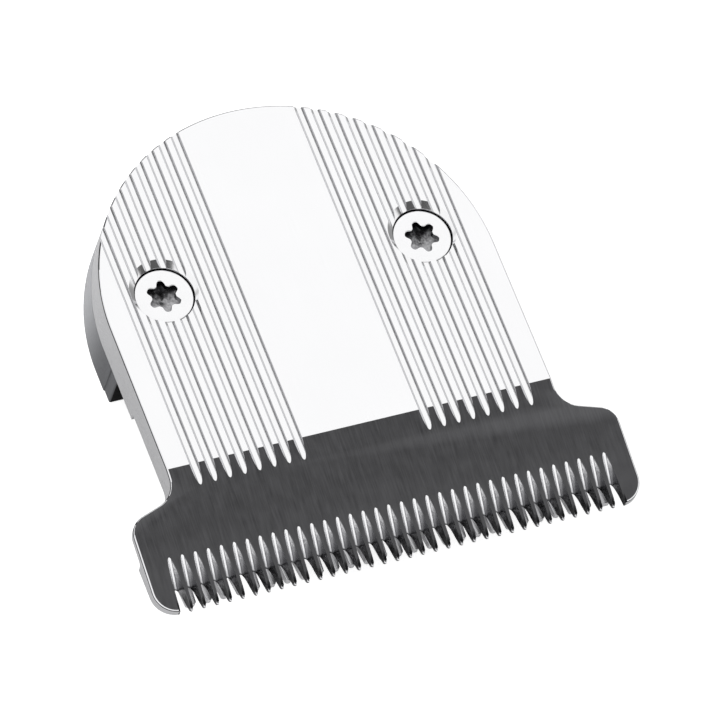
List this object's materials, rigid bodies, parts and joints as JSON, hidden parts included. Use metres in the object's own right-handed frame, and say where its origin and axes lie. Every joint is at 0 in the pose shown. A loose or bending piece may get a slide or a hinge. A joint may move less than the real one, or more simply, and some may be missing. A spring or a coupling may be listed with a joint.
{
  "type": "hair clipper blade set",
  "caption": "Clip-on T-blade set for a hair trimmer: polished comb blade with fluted domed face, sliding cutter behind it, moulded carrier, driver and spring.",
  "frame": {"origin": "middle of the length and width, on the flat back of the carrier", "axes": "+Z out of the polished face, -Y out of the tooth tips, +X along the row of teeth"},
  "size_m": [0.04, 0.039, 0.0066],
  "materials": {
    "polished_steel": "polished face, satin ground band",
    "ground_steel": "ground",
    "screw_steel": "bright",
    "spring_steel": "stamped strip",
    "carrier_plastic": "fine moulded texture",
    "driver_plastic": "smooth acetal"
  },
  "bodies": {
    "root": {"comb_blade": "polished_steel", "blade_carrier": "carrier_plastic", "carrier_screws": "screw_steel", "pressure_spring": "spring_steel"},
    "cutter": {"cutter_blade": "ground_steel", "cutter_driver": "driver_plastic"}
  },
  "joints": [
    {"name": "cutter_slide", "type": "slide", "parent": "root", "child": "cutter", "axis": [1, 0, 0], "range_m": [-0.0014, 0.0014]}
  ]
}
